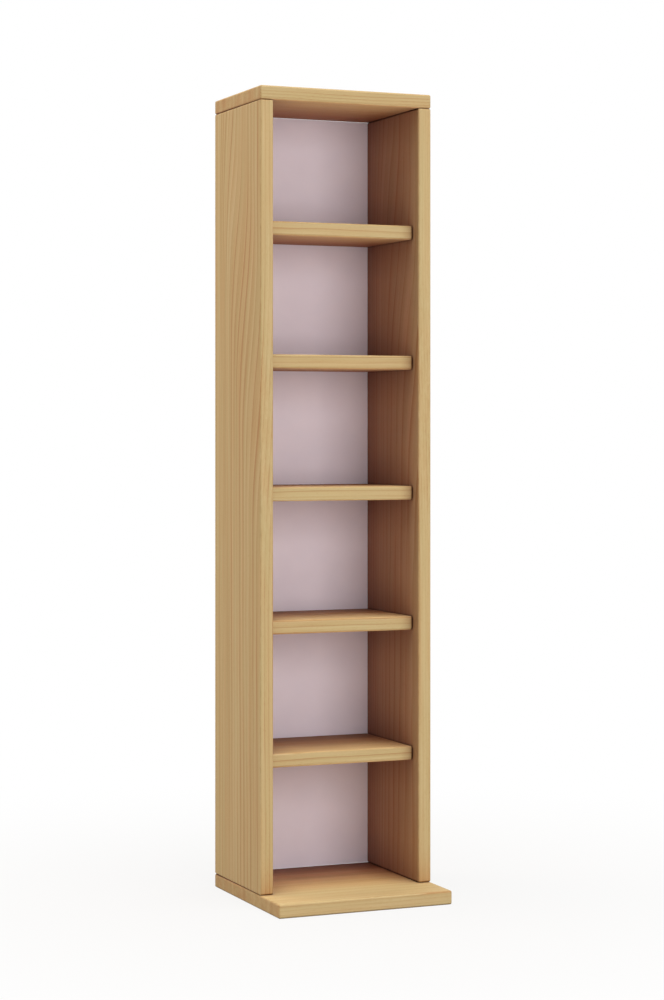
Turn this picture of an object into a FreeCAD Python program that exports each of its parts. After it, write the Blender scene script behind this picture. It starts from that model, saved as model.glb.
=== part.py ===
"""CD and DVD storage tower: an open-fronted carcass of boards with five loose shelves.

The frame has +Z up, the open front towards -Y and +X to the right. The origin lies on the
floor, under the middle of the base. All lengths are in millimetres.
"""
import FreeCAD, Part
import os

import Sketcher

# Counts
SHELF_COUNT = 5
PINS_PER_SIDE = 6
DOWELS_PER_JOINT = 2
SOCKET_SIDES = 6

# Driving dimensions, each with an alias of the same name in the sheet
SIZES = {
    "overall_height": 875,
    "overall_width": 200,
    "side_depth": 140,
    "base_overhang": 53,
    "board_thickness": 15,
    "arris_radius": 2,
    "back_thickness": 2.5,
    "rebate_width": 7,
    "back_clearance": 0.3,
    "shelf_thickness": 15,
    "shelf_setback": 14.5,
    "shelf_end_clearance": 0.5,
    "shelf_back_clearance": 0.5,
    "lowest_compartment_extra": 5,
    "wire_diameter": 3,
    "wire_bend_radius": 3,
    "wire_bend_gap": 0.5,
    "wire_leg_share": 0.6,
    "wire_front_inset": 26,
    "wire_rear_inset": 16,
    "groove_clearance": 0.3,
    "fastener_clearance": 0.1,
    "hole_end_clearance": 0.5,
    "dowel_diameter": 8,
    "dowel_length": 30,
    "dowel_chamfer": 1,
    "dowel_panel_share": 0.65,
    "screw_inset": 28,
    "screw_diameter": 6.3,
    "screw_length": 47,
    "screw_tip_length": 5,
    "screw_tip_diameter": 3.6,
    "screw_head_diameter": 9,
    "screw_head_height": 3,
    "screw_recess": 1,
    "socket_width": 4,
    "socket_depth": 2,
    "cap_lip": 0.6,
    "cap_thickness": 2.2,
    "cap_bevel": 0.4,
    "cap_peg_length": 1.6,
    "pin_diameter": 1.4,
    "pin_length": 18,
    "pin_tip_length": 2,
    "pin_tip_diameter": 0.4,
    "pin_head_diameter": 3,
    "pin_head_height": 0.8,
    "pin_end_inset": 40,
}

# Lengths of the carcass, worked out from the driving dimensions
WIDTH = "Sizes.overall_width"
DEPTH = "Sizes.side_depth"
BOARD = "Sizes.board_thickness"
BASE_DEPTH = f"({DEPTH} + Sizes.base_overhang)"
SIDE_HEIGHT = f"(Sizes.overall_height - 2 * {BOARD})"
INNER_WIDTH = f"({WIDTH} - 2 * {BOARD})"
LEFT_X = f"(-{WIDTH} / 2)"
INNER_LEFT_X = f"(-{INNER_WIDTH} / 2)"
INNER_RIGHT_X = f"({INNER_WIDTH} / 2)"
REAR_Y = f"({BASE_DEPTH} / 2)"
FRONT_Y = f"({REAR_Y} - {DEPTH})"
TOP_Z = f"(Sizes.overall_height - {BOARD})"

# The back panel in the rebates of the sides
BACK_LAP = "(Sizes.rebate_width - Sizes.back_clearance)"
BACK_WIDTH = f"({INNER_WIDTH} + 2 * {BACK_LAP})"
BACK_HEIGHT = f"({SIDE_HEIGHT} - 2 * Sizes.back_clearance)"
REBATE_Y = f"({DEPTH} - Sizes.back_thickness)"

# The shelves, evenly spaced but for the taller lowest compartment
SHELF = "Sizes.shelf_thickness"
SHELF_LENGTH = f"({INNER_WIDTH} - 2 * Sizes.shelf_end_clearance)"
SHELF_DEPTH = f"({REBATE_Y} - Sizes.shelf_setback - Sizes.shelf_back_clearance)"
SHELVES_HEIGHT = f"({SHELF_COUNT} * {SHELF} + Sizes.lowest_compartment_extra)"
COMPARTMENT_HEIGHT = f"(({SIDE_HEIGHT} - {SHELVES_HEIGHT}) / ({SHELF_COUNT} + 1))"

# The support wires and the grooves that cover them
WIRE_LEG_DEPTH = f"(Sizes.wire_leg_share * {BOARD})"
WIRE_STANDOFF = "(Sizes.wire_bend_radius + Sizes.wire_bend_gap)"
WIRE_SPACING = f"({SHELF_DEPTH} - Sizes.wire_front_inset - Sizes.wire_rear_inset)"
WIRE_FRONT = "(Sizes.shelf_setback + Sizes.wire_front_inset)"
GROOVE_REACH = f"({WIRE_STANDOFF} + Sizes.wire_diameter / 2 + Sizes.groove_clearance)"
GROOVE_DEPTH = f"({GROOVE_REACH} - Sizes.shelf_end_clearance)"
GROOVE_HEIGHT = "(Sizes.wire_diameter + 2 * Sizes.groove_clearance)"
GROOVE_FRONT = "(Sizes.wire_front_inset - Sizes.wire_diameter / 2 - Sizes.groove_clearance)"

# The fasteners and their seats
DOWEL_PANEL_DEPTH = f"(Sizes.dowel_panel_share * {BOARD})"
CAP_DIAMETER = "(Sizes.screw_head_diameter + 2 * Sizes.cap_lip)"
CAP_PEG_DIAMETER = "(Sizes.socket_width - 2 * Sizes.fastener_clearance)"
TOP_SEAT = "(Sizes.cap_thickness + Sizes.screw_head_height)"
BASE_SEAT = "(Sizes.screw_recess + Sizes.screw_head_height)"

# Places of the joints between the sides and the top and base, seen from above: across the
# width from the left outer face, and backwards from the front edges of the sides
JOINT_LINES = (f"({BOARD} / 2)", f"({WIDTH} - {BOARD} / 2)")
SCREW_DEPTHS = ("Sizes.screw_inset", f"({DEPTH} - Sizes.screw_inset)")
DOWEL_STEP = f"(({DEPTH} - 2 * Sizes.screw_inset) / ({DOWELS_PER_JOINT} + 1))"
DOWEL_DEPTHS = tuple(f"(Sizes.screw_inset + {n + 1} * {DOWEL_STEP})" for n in range(DOWELS_PER_JOINT))

# Heights of the pins above the lower ends of the sides
PIN_STEP = f"(({SIDE_HEIGHT} - 2 * Sizes.pin_end_inset) / ({PINS_PER_SIDE} - 1))"
PIN_HEIGHTS = tuple(f"(Sizes.pin_end_inset + {n} * {PIN_STEP})" for n in range(PINS_PER_SIDE))

doc = FreeCAD.newDocument("storage_tower")


def fill_sheet():
    """Writes the driving dimensions to the sheet that all expressions read."""
    sheet = doc.addObject("Spreadsheet::Sheet", "Sizes")
    for row, (alias, value) in enumerate(SIZES.items(), 1):
        sheet.set(f"A{row}", alias)
        sheet.set(f"B{row}", str(value))
        sheet.setAlias(f"B{row}", alias)
    doc.recompute()


def shelf_underside(number):
    """Height of a shelf's lower face above the floor; shelf 1 is the highest."""
    return f"({TOP_Z} - {number} * ({COMPARTMENT_HEIGHT} + {SHELF}))"


def hole(diameter):
    """Diameter of the hole that takes a round piece of the given diameter."""
    return f"({diameter} + 2 * Sizes.fastener_clearance)"


def place(piece, x, y, z):
    """Binds a piece's position to expressions."""
    for axis, expression in zip("xyz", (x, y, z)):
        piece.setExpression(f"Placement.Base.{axis}", expression)


def add_sketch(body, name, role, lift=None):
    """A sketch on one of the body's own origin planes, lifted along the plane's normal."""
    sketch = body.newObject("Sketcher::SketchObject", name)
    plane = next(feature for feature in body.Origin.OriginFeatures if feature.Role == role)
    sketch.AttachmentSupport = [(plane, "")]
    sketch.MapMode = "FlatFace"
    if lift:
        sketch.setExpression("AttachmentOffset.Base.z", lift)
    return sketch


def constrain(sketch, name, expression, kind, *elements):
    """Adds a named constraint whose value follows an expression."""
    value = float(sketch.evalExpression(expression))
    index = sketch.addConstraint(Sketcher.Constraint(kind, *elements, value))
    sketch.renameConstraint(index, name)
    sketch.setExpression(f"Constraints.{name}", expression)


def draw_rectangle(sketch, width, height, left=None, low=None):
    """A rectangle whose low left corner lies on the sketch's axes unless left or low is given."""
    wide, high, start_x, start_y = (
        float(sketch.evalExpression(length or "0")) for length in (width, height, left, low)
    )
    corners = [
        FreeCAD.Vector(start_x, start_y, 0),
        FreeCAD.Vector(start_x + wide, start_y, 0),
        FreeCAD.Vector(start_x + wide, start_y + high, 0),
        FreeCAD.Vector(start_x, start_y + high, 0),
    ]
    first = sketch.GeometryCount
    edges = [Part.LineSegment(corners[n], corners[(n + 1) % 4]) for n in range(4)]
    sketch.addGeometry(edges, False)
    for n in range(4):
        sketch.addConstraint(Sketcher.Constraint("Coincident", first + n, 2, first + (n + 1) % 4, 1))
        direction = "Vertical" if n % 2 else "Horizontal"
        sketch.addConstraint(Sketcher.Constraint(direction, first + n))
    constrain(sketch, f"width_{first}", width, "DistanceX", first, 1, first, 2)
    constrain(sketch, f"height_{first}", height, "DistanceY", first + 1, 1, first + 1, 2)
    if left:
        constrain(sketch, f"left_{first}", left, "DistanceX", -1, 1, first, 1)
    else:
        sketch.addConstraint(Sketcher.Constraint("PointOnObject", first, 1, -2))
    if low:
        constrain(sketch, f"low_{first}", low, "DistanceY", -1, 1, first, 1)
    else:
        sketch.addConstraint(Sketcher.Constraint("PointOnObject", first, 1, -1))


def draw_circles(sketch, centres, diameter):
    """Circles of one diameter at the given centres."""
    radius = float(sketch.evalExpression(diameter)) / 2
    for x, y in centres:
        middle = FreeCAD.Vector(float(sketch.evalExpression(x)), float(sketch.evalExpression(y)), 0)
        index = sketch.addGeometry(Part.Circle(middle, FreeCAD.Vector(0, 0, 1), radius), False)
        constrain(sketch, f"across_{index}", diameter, "Diameter", index)
        constrain(sketch, f"x_{index}", x, "DistanceX", -1, 1, index, 3)
        constrain(sketch, f"y_{index}", y, "DistanceY", -1, 1, index, 3)


def add_pocket(body, name, sketch, depth, along_normal):
    """Cuts a sketch into the body, along its plane's normal or against it, or right through."""
    pocket = body.newObject("PartDesign::Pocket", name)
    pocket.Profile = sketch
    pocket.Reversed = along_normal
    if depth:
        pocket.setExpression("Length", depth)
    else:
        pocket.Type = "ThroughAll"
    return pocket


def drill(body, name, role, centres, diameter, depth=None, lift=None, along_normal=False):
    """Drills equal holes from a plane of the body, to a depth or right through."""
    sketch = add_sketch(body, f"{name}_sketch", role, lift)
    draw_circles(sketch, centres, diameter)
    add_pocket(body, name, sketch, depth, along_normal)


def make_panel(label, width, depth, height):
    """A body holding a plain panel with its low front left corner at the body's origin."""
    body = doc.addObject("PartDesign::Body", label)
    outline = add_sketch(body, f"{label}_outline", "XY_Plane")
    draw_rectangle(outline, width, depth)
    pad = body.newObject("PartDesign::Pad", f"{label}_panel")
    pad.Profile = outline
    pad.setExpression("Length", height)
    return body


def make_board(label, width, depth, height):
    """A wooden panel with all its arrises rounded over."""
    body = make_panel(label, width, depth, height)
    panel = body.Tip
    arrises = body.newObject("PartDesign::Fillet", f"{label}_arrises")
    arrises.Base = (panel, [""])
    arrises.UseAllEdges = True
    arrises.setExpression("Radius", "Sizes.arris_radius")
    return body


def make_base():
    """The base panel, drilled for the dowels from above and for the screws from below."""
    body = make_board("base_panel", WIDTH, BASE_DEPTH, BOARD)
    dowels = [(x, f"Sizes.base_overhang + {y}") for x in JOINT_LINES for y in DOWEL_DEPTHS]
    screws = [(x, f"Sizes.base_overhang + {y}") for x in JOINT_LINES for y in SCREW_DEPTHS]
    depth = f"{DOWEL_PANEL_DEPTH} + Sizes.hole_end_clearance"
    drill(body, "base_dowel_holes", "XY_Plane", dowels, hole("Sizes.dowel_diameter"), depth, BOARD)
    drill(body, "base_screw_holes", "XY_Plane", screws, hole("Sizes.screw_diameter"), along_normal=True)
    drill(body, "base_screw_seats", "XY_Plane", screws, hole("Sizes.screw_head_diameter"), BASE_SEAT,
          along_normal=True)
    place(body, LEFT_X, f"-{REAR_Y}", "0")
    return body


def make_top():
    """The top panel, drilled for the dowels from below and for the capped screws from above."""
    body = make_board("top_panel", WIDTH, DEPTH, BOARD)
    dowels = [(x, y) for x in JOINT_LINES for y in DOWEL_DEPTHS]
    screws = [(x, y) for x in JOINT_LINES for y in SCREW_DEPTHS]
    depth = f"{DOWEL_PANEL_DEPTH} + Sizes.hole_end_clearance"
    drill(body, "top_dowel_holes", "XY_Plane", dowels, hole("Sizes.dowel_diameter"), depth,
          along_normal=True)
    drill(body, "top_screw_holes", "XY_Plane", screws, hole("Sizes.screw_diameter"), lift=BOARD)
    drill(body, "top_screw_seats", "XY_Plane", screws, hole("Sizes.screw_head_diameter"), TOP_SEAT, BOARD)
    drill(body, "top_cap_seats", "XY_Plane", screws, hole(CAP_DIAMETER), "Sizes.cap_thickness", BOARD)
    place(body, LEFT_X, FRONT_Y, TOP_Z)
    return body


def make_side(label, is_left):
    """A side panel: end holes, holes for the shelf wires, and a rebate for the back panel."""
    body = make_board(label, BOARD, DEPTH, SIDE_HEIGHT)
    middle = f"{BOARD} / 2"
    dowels = [(middle, y) for y in DOWEL_DEPTHS]
    screws = [(middle, y) for y in SCREW_DEPTHS]
    dowel_depth = f"Sizes.dowel_length - {DOWEL_PANEL_DEPTH} + Sizes.hole_end_clearance"
    ends = (("lower", BASE_SEAT, None, True), ("upper", TOP_SEAT, SIDE_HEIGHT, False))
    for end, seat, lift, along_normal in ends:
        screw_depth = f"Sizes.screw_length - ({BOARD} - {seat}) + Sizes.hole_end_clearance"
        drill(body, f"{label}_{end}_dowel_holes", "XY_Plane", dowels, hole("Sizes.dowel_diameter"),
              dowel_depth, lift, along_normal)
        drill(body, f"{label}_{end}_screw_holes", "XY_Plane", screws, hole("Sizes.screw_diameter"),
              screw_depth, lift, along_normal)

    legs = [
        (y, f"{shelf_underside(number)} + {SHELF} / 2 - {BOARD}")
        for number in range(1, SHELF_COUNT + 1)
        for y in (WIRE_FRONT, f"{WIRE_FRONT} + {WIRE_SPACING}")
    ]
    leg_depth = f"{WIRE_LEG_DEPTH} + Sizes.hole_end_clearance"
    drill(body, f"{label}_wire_holes", "YZ_Plane", legs, hole("Sizes.wire_diameter"), leg_depth,
          BOARD if is_left else None, not is_left)

    rebate = add_sketch(body, f"{label}_rebate_sketch", "XY_Plane")
    rebate_left = f"{BOARD} - Sizes.rebate_width" if is_left else None
    draw_rectangle(rebate, "Sizes.rebate_width", "Sizes.back_thickness", rebate_left, REBATE_Y)
    add_pocket(body, f"{label}_rebate", rebate, None, True)

    pin_x = f"{BOARD} - Sizes.rebate_width / 2" if is_left else "Sizes.rebate_width / 2"
    pins = [(pin_x, z) for z in PIN_HEIGHTS]
    pin_depth = "Sizes.pin_length - Sizes.back_thickness + Sizes.hole_end_clearance"
    drill(body, f"{label}_pin_holes", "XZ_Plane", pins, hole("Sizes.pin_diameter"), pin_depth,
          f"-{REBATE_Y}", True)
    place(body, LEFT_X if is_left else INNER_RIGHT_X, FRONT_Y, BOARD)
    return body


def make_back():
    """The thin back panel with its pin holes and the dimples that take the pin heads."""
    body = make_panel("back_panel", BACK_WIDTH, "Sizes.back_thickness", BACK_HEIGHT)
    from_edge = "Sizes.rebate_width / 2 - Sizes.back_clearance"
    pins = [
        (x, f"{z} - Sizes.back_clearance")
        for x in (from_edge, f"{BACK_WIDTH} - ({from_edge})")
        for z in PIN_HEIGHTS
    ]
    rear = "-Sizes.back_thickness"
    drill(body, "back_pin_holes", "XZ_Plane", pins, hole("Sizes.pin_diameter"), None, rear, True)
    drill(body, "back_pin_dimples", "XZ_Plane", pins, hole("Sizes.pin_head_diameter"),
          "Sizes.pin_head_height", rear, True)
    place(body, f"-{BACK_WIDTH} / 2", f"{REAR_Y} - Sizes.back_thickness",
          f"{BOARD} + Sizes.back_clearance")
    return body


def make_shelf(number):
    """A loose shelf; a groove in each end, open at the rear, slides over the support wire."""
    body = make_board(f"shelf_{number}", SHELF_LENGTH, SHELF_DEPTH, SHELF)
    grooves = add_sketch(body, f"shelf_{number}_groove_sketch", "XZ_Plane", f"-{SHELF_DEPTH}")
    low = f"({SHELF} - {GROOVE_HEIGHT}) / 2"
    for left in (None, f"{SHELF_LENGTH} - {GROOVE_DEPTH}"):
        draw_rectangle(grooves, GROOVE_DEPTH, GROOVE_HEIGHT, left, low)
    add_pocket(body, f"shelf_{number}_grooves", grooves, f"{SHELF_DEPTH} - {GROOVE_FRONT}", True)
    place(body, f"-{SHELF_LENGTH} / 2", f"{FRONT_Y} + Sizes.shelf_setback", shelf_underside(number))
    return body


def draw_wire_path(sketch):
    """The wire's centre line: a leg, a bend, the bar, a bend and a leg, starting at a leg's tip."""
    leg, standoff, radius, spacing = (
        float(sketch.evalExpression(length))
        for length in (WIRE_LEG_DEPTH, WIRE_STANDOFF, "Sizes.wire_bend_radius", WIRE_SPACING)
    )
    bend = standoff - radius
    half_share = 0.5 ** 0.5
    points = {
        "front_tip": FreeCAD.Vector(-leg, 0, 0),
        "front_bend": FreeCAD.Vector(bend, 0, 0),
        "front_mid": FreeCAD.Vector(bend + radius * half_share, radius - radius * half_share, 0),
        "bar_front": FreeCAD.Vector(standoff, radius, 0),
        "bar_rear": FreeCAD.Vector(standoff, spacing - radius, 0),
        "rear_mid": FreeCAD.Vector(bend + radius * half_share, spacing - radius + radius * half_share, 0),
        "rear_bend": FreeCAD.Vector(bend, spacing, 0),
        "rear_tip": FreeCAD.Vector(-leg, spacing, 0),
    }
    sketch.addGeometry(Part.LineSegment(points["front_tip"], points["front_bend"]), False)
    sketch.addGeometry(Part.Arc(points["front_bend"], points["front_mid"], points["bar_front"]), False)
    sketch.addGeometry(Part.LineSegment(points["bar_front"], points["bar_rear"]), False)
    sketch.addGeometry(Part.Arc(points["bar_rear"], points["rear_mid"], points["rear_bend"]), False)
    sketch.addGeometry(Part.LineSegment(points["rear_bend"], points["rear_tip"]), False)
    front_leg, front_arc, bar, rear_arc, rear_leg = range(5)
    for first, first_end, second, second_end in (
        (front_leg, 2, front_arc, 1),
        (front_arc, 2, bar, 1),
        (bar, 2, rear_arc, 1),
        (rear_arc, 2, rear_leg, 1),
    ):
        sketch.addConstraint(Sketcher.Constraint("Tangent", first, first_end, second, second_end))
    sketch.addConstraint(Sketcher.Constraint("PointOnObject", front_leg, 1, -1))
    sketch.addConstraint(Sketcher.Constraint("Horizontal", front_leg))
    sketch.addConstraint(Sketcher.Constraint("Vertical", bar))
    sketch.addConstraint(Sketcher.Constraint("Horizontal", rear_leg))
    sketch.addConstraint(Sketcher.Constraint("Equal", front_arc, rear_arc))
    sketch.addConstraint(Sketcher.Constraint("Equal", front_leg, rear_leg))
    constrain(sketch, "bend_radius", "Sizes.wire_bend_radius", "Radius", front_arc)
    constrain(sketch, "leg_depth", WIRE_LEG_DEPTH, "DistanceX", front_leg, 1, -1, 1)
    constrain(sketch, "standoff", WIRE_STANDOFF, "DistanceX", -1, 1, bar, 1)
    constrain(sketch, "spacing", WIRE_SPACING, "DistanceY", front_leg, 1, rear_leg, 2)


def make_wire(number, is_left):
    """A bent steel wire whose two legs plug into a side panel; its bar carries a shelf end."""
    label = f"shelf_{number}_{'left' if is_left else 'right'}_wire"
    body = doc.addObject("PartDesign::Body", label)
    path = add_sketch(body, f"{label}_path", "XY_Plane")
    draw_wire_path(path)
    section = add_sketch(body, f"{label}_section", "YZ_Plane", f"-{WIRE_LEG_DEPTH}")
    radius = float(section.evalExpression("Sizes.wire_diameter")) / 2
    circle = section.addGeometry(Part.Circle(FreeCAD.Vector(), FreeCAD.Vector(0, 0, 1), radius), False)
    section.addConstraint(Sketcher.Constraint("Coincident", circle, 3, -1, 1))
    constrain(section, "across", "Sizes.wire_diameter", "Diameter", circle)
    doc.recompute()
    pipe = body.newObject("PartDesign::AdditivePipe", f"{label}_rod")
    pipe.Profile = section
    pipe.Spine = (path, [f"Edge{n + 1}" for n in range(path.GeometryCount)])
    height = f"{shelf_underside(number)} + {SHELF} / 2"
    if is_left:
        place(body, INNER_LEFT_X, f"{FRONT_Y} + {WIRE_FRONT}", height)
    else:
        body.Placement = FreeCAD.Placement(FreeCAD.Vector(), FreeCAD.Rotation(FreeCAD.Vector(0, 0, 1), 180))
        place(body, INNER_RIGHT_X, f"{FRONT_Y} + {WIRE_FRONT} + {WIRE_SPACING}", height)
    return body


def make_turned(name, stages):
    """A round piece standing on the origin, built up of stages (low diameter, high diameter, length)."""
    pieces = []
    start = "0"
    for number, (low, high, length) in enumerate(stages, 1):
        kind = "Part::Cylinder" if low == high else "Part::Cone"
        piece = doc.addObject(kind, f"{name}_stage_{number}")
        if low == high:
            piece.setExpression("Radius", f"{low} / 2")
        else:
            piece.setExpression("Radius1", f"{low} / 2")
            piece.setExpression("Radius2", f"{high} / 2")
        piece.setExpression("Height", length)
        piece.setExpression("Placement.Base.z", start)
        start = f"{start} + {length}"
        pieces.append(piece)
    whole = doc.addObject("Part::MultiFuse", name)
    whole.Shapes = pieces
    return whole


def make_screw_pattern():
    """A connecting screw, tip down, with a six-sided socket in its flat-seated head."""
    shank, head, tip = "Sizes.screw_diameter", "Sizes.screw_head_diameter", "Sizes.screw_tip_diameter"
    turned = make_turned("screw_turning", (
        (tip, shank, "Sizes.screw_tip_length"),
        (shank, shank, "(Sizes.screw_length - Sizes.screw_tip_length)"),
        (head, head, "Sizes.screw_head_height"),
    ))
    socket = doc.addObject("Part::Prism", "screw_socket")
    socket.Polygon = SOCKET_SIDES
    socket.setExpression("Circumradius", "Sizes.socket_width / sqrt(3)")
    socket.setExpression("Height", "Sizes.socket_depth")
    place(socket, "0", "0", "Sizes.screw_length + Sizes.screw_head_height - Sizes.socket_depth")
    screw = doc.addObject("Part::Cut", "screw_pattern")
    screw.Base = turned
    screw.Tool = socket
    return screw


def make_dowel_pattern():
    """A wooden dowel standing on end, chamfered at both ends."""
    dowel, chamfer = "Sizes.dowel_diameter", "Sizes.dowel_chamfer"
    small = f"({dowel} - 2 * {chamfer})"
    return make_turned("dowel_pattern", (
        (small, dowel, chamfer),
        (dowel, dowel, f"(Sizes.dowel_length - 2 * {chamfer})"),
        (dowel, small, chamfer),
    ))


def make_cap_pattern():
    """A cover cap: a peg that enters the screw's socket, and a disc with a bevelled rim."""
    return make_turned("cap_pattern", (
        (CAP_PEG_DIAMETER, CAP_PEG_DIAMETER, "Sizes.cap_peg_length"),
        (CAP_DIAMETER, CAP_DIAMETER, "(Sizes.cap_thickness - Sizes.cap_bevel)"),
        (CAP_DIAMETER, f"({CAP_DIAMETER} - 2 * Sizes.cap_bevel)", "Sizes.cap_bevel"),
    ))


def make_pin_pattern():
    """A panel pin, tip down, with a flat head."""
    shank, head = "Sizes.pin_diameter", "Sizes.pin_head_diameter"
    return make_turned("pin_pattern", (
        ("Sizes.pin_tip_diameter", shank, "Sizes.pin_tip_length"),
        (shank, shank, "(Sizes.pin_length - Sizes.pin_tip_length - Sizes.pin_head_height)"),
        (head, head, "Sizes.pin_head_height"),
    ))


def make_group(label, pattern, places, turn=None):
    """One piece per place, all alike, each turned the same way, as one group of solids."""
    copies = []
    for number, (x, y, z) in enumerate(places, 1):
        copy = doc.addObject("App::Link", f"{label}_{number}")
        copy.LinkedObject = pattern
        if turn:
            copy.Placement = FreeCAD.Placement(FreeCAD.Vector(), turn)
        place(copy, x, y, z)
        copies.append(copy)
    group = doc.addObject("Part::Compound", label)
    group.Links = copies
    return group


def make_fasteners():
    """All dowels, screws, caps and pins, each kind in its own groups."""
    dowel_places = [(f"{LEFT_X} + {x}", f"{FRONT_Y} + {y}") for x in JOINT_LINES for y in DOWEL_DEPTHS]
    screw_places = [(f"{LEFT_X} + {x}", f"{FRONT_Y} + {y}") for x in JOINT_LINES for y in SCREW_DEPTHS]
    upside_down = FreeCAD.Rotation(FreeCAD.Vector(1, 0, 0), 180)
    head_rearwards = FreeCAD.Rotation(FreeCAD.Vector(1, 0, 0), -90)

    base_dowel_z = f"{BOARD} - {DOWEL_PANEL_DEPTH}"
    top_dowel_z = f"{TOP_Z} + {DOWEL_PANEL_DEPTH} - Sizes.dowel_length"
    base_screw_z = f"{BASE_SEAT} + Sizes.screw_length"
    top_screw_z = f"Sizes.overall_height - {TOP_SEAT} - Sizes.screw_length"
    cap_z = "Sizes.overall_height - Sizes.cap_thickness - Sizes.cap_peg_length"
    pin_x = f"({INNER_WIDTH} / 2 + Sizes.rebate_width / 2)"
    pin_places = [
        (f"{sign}{pin_x}", f"{REAR_Y} - Sizes.pin_length", f"{BOARD} + {z}")
        for sign in ("-", "")
        for z in PIN_HEIGHTS
    ]

    dowel = make_dowel_pattern()
    screw = make_screw_pattern()
    cap = make_cap_pattern()
    pin = make_pin_pattern()
    return [
        make_group("base_dowels", dowel, [(x, y, base_dowel_z) for x, y in dowel_places]),
        make_group("top_dowels", dowel, [(x, y, top_dowel_z) for x, y in dowel_places]),
        make_group("base_screws", screw, [(x, y, base_screw_z) for x, y in screw_places], upside_down),
        make_group("top_screws", screw, [(x, y, top_screw_z) for x, y in screw_places]),
        make_group("top_screw_caps", cap, [(x, y, cap_z) for x, y in screw_places]),
        make_group("back_panel_pins", pin, pin_places, head_rearwards),
    ]


def make_tower():
    """All sub-parts of the tower, from the base up."""
    numbers = range(1, SHELF_COUNT + 1)
    parts = [
        make_base(),
        make_side("left_side_panel", True),
        make_side("right_side_panel", False),
        make_top(),
        make_back(),
    ]
    parts += [make_shelf(number) for number in numbers]
    parts += [make_wire(number, is_left) for number in numbers for is_left in (True, False)]
    parts += make_fasteners()
    doc.recompute()
    return parts


def check_document(parts):
    """Stops on a failed object, a cut that removed nothing, or a sub-part without a valid shape."""
    for item in doc.Objects:
        if {"Invalid", "Error"} & set(item.State):
            raise RuntimeError(f"{item.Label} failed to build")
        if item.TypeId == "PartDesign::Pocket" and item.Shape.Volume >= item.BaseFeature.Shape.Volume:
            raise RuntimeError(f"{item.Label} cuts nothing")
    for part in parts:
        if part.Shape.isNull() or not part.Shape.isValid():
            raise RuntimeError(f"{part.Label} has no valid shape")


def write_parts(parts):
    """Writes each sub-part to a file of its own, named for it."""
    os.makedirs("parts", exist_ok=True)
    for part in parts:
        part.Shape.exportStep(f"parts/{part.Label}.step")
        print(f"{part.Label}: {len(part.Shape.Solids)} solids, {part.Shape.Volume:.1f} mm3")


fill_sheet()
tower = make_tower()
check_document(tower)
write_parts(tower)
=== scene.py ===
"""Finishes, studio and camera for an open wooden storage tower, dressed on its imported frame."""
from __future__ import annotations

import logging
import math
from dataclasses import dataclass, field
from enum import Enum

import bpy
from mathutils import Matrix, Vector


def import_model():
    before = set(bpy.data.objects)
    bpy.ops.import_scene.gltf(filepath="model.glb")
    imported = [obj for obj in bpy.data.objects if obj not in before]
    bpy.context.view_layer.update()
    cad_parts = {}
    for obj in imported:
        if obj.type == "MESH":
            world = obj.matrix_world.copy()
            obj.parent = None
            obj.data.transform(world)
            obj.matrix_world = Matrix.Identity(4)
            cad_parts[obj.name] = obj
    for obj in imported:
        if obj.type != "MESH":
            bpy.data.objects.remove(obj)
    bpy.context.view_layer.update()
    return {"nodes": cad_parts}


LOG = logging.getLogger("storage_tower")

Tree = bpy.types.NodeTree
Node = bpy.types.Node
Socket = bpy.types.NodeSocket
Colour = tuple[float, float, float, float]
Shares = tuple[float, float, float]
Range = tuple[float, float]
Stops = tuple[tuple[float, Shares], ...]

MM = 0.001
IMAGE_HEIGHT_PX = 1000
# A noise texture is about one half on average.
NOISE_MEAN = 0.5
# The wave texture runs through this many radians in each unit of length.
WAVE_RADIANS = 20.0
PLAIN: Shares = (1.0, 1.0, 1.0)


def linear(hex_colour: str) -> Colour:
    """Turns an sRGB hex colour into linear light, with the constants of the sRGB curve.

    Args:
        hex_colour: Six hex digits after a hash sign.

    Returns:
        Linear red, green and blue, and an alpha of one.
    """
    channels = [int(hex_colour[start:start + 2], 16) / 255 for start in (1, 3, 5)]
    light = [c / 12.92 if c <= 0.04045 else ((c + 0.055) / 1.055) ** 2.4 for c in channels]
    return (*light, 1.0)


def add_node(tree: Tree, kind: str, inputs: dict[str | int, object] | None = None,
             stops: list[tuple[float, Colour]] | None = None, **settings: object) -> Node:
    """Adds one node with its settings, constants, links and ramp stops.

    Args:
        tree: The tree that takes the node.
        kind: The node's type name.
        inputs: Socket name or number to a constant, or to the output socket to link from.
        stops: Places and colours along a colour ramp.
        settings: Properties of the node.

    Returns:
        The new node.
    """
    node = tree.nodes.new(kind)
    for name, value in settings.items():
        setattr(node, name, value)
    for name, value in (inputs or {}).items():
        if isinstance(value, Socket):
            tree.links.new(value, node.inputs[name])
        else:
            node.inputs[name].default_value = value
    if stops:
        elements = node.color_ramp.elements
        while len(elements) < len(stops):
            elements.new(1.0)
        for element, (place, colour) in zip(elements, stops):
            element.position = place
            element.color = colour
    return node


def new_material(name: str) -> tuple[bpy.types.Material, Tree]:
    """Makes an empty node material.

    Args:
        name: The material's name.

    Returns:
        The material and its cleared node tree.
    """
    material = bpy.data.materials.new(name)
    material.use_nodes = True
    material.node_tree.nodes.clear()
    return material, material.node_tree


def put_finish(node: bpy.types.Object, material: bpy.types.Material) -> None:
    """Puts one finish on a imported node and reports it.

    Args:
        node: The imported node's object.
        material: The finish.
    """
    if not node.material_slots:
        node.data.materials.append(material)
    for slot in node.material_slots:
        slot.material = material
    LOG.info("%s: %s", node.name, material.name)


class Grain(Enum):
    """The row axis that the fibres of a board follow."""

    UPRIGHT = "Z"
    ACROSS = "X"

    @property
    def turn(self) -> float:
        """Turn about Y, in radians, that brings the fibres to the pattern's Z axis."""
        return 0.0 if self is Grain.UPRIGHT else -math.pi / 2


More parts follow.
